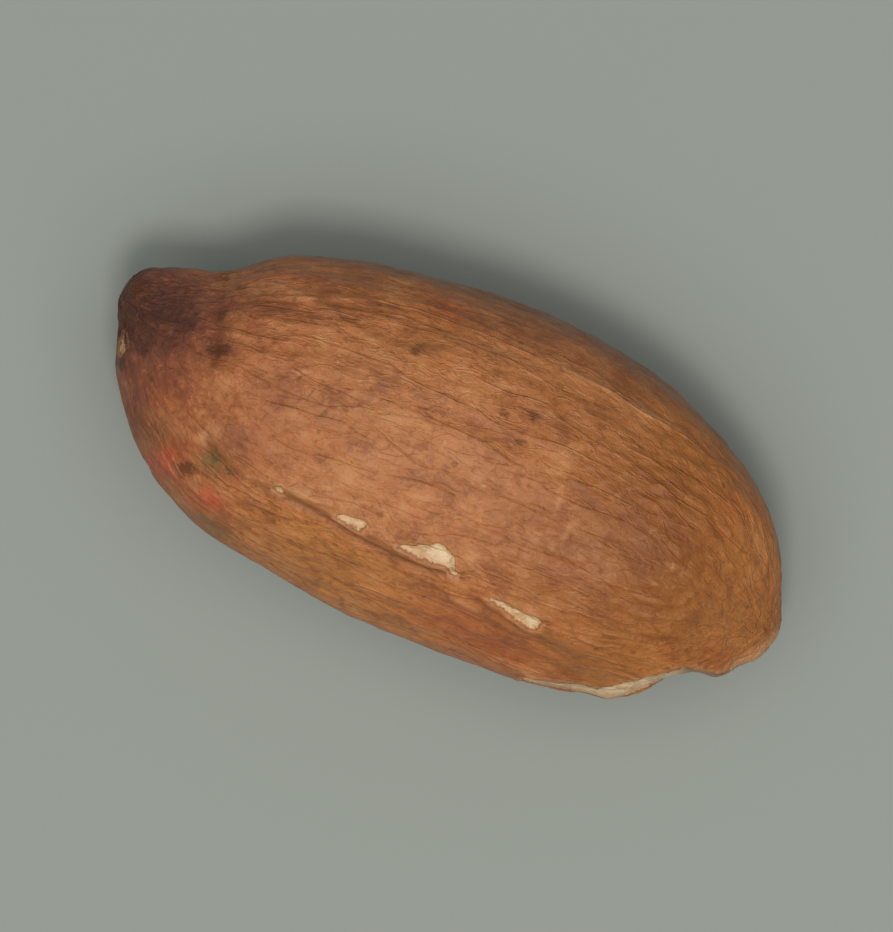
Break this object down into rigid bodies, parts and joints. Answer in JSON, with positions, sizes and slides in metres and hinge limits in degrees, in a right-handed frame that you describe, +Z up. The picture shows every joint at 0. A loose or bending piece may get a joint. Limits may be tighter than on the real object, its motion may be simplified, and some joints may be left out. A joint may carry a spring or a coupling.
{
  "type": "shelled peanut",
  "caption": "Shelled peanut kernel in its red-brown skin, with a blunt beak, a side crease and a torn edge, lying on a small flat spot.",
  "frame": {"origin": "middle of the base of the seed's box, on the surface that it lies on", "axes": "+X from the beak to the tail, +Y across the seed away from the crease, +Z up"},
  "size_m": [0.0174, 0.0084, 0.0079],
  "materials": {
    "testa": "dry papery red-brown seed skin, matt"
  },
  "bodies": {
    "root": {"kernel": "testa"}
  },
  "joints": []
}
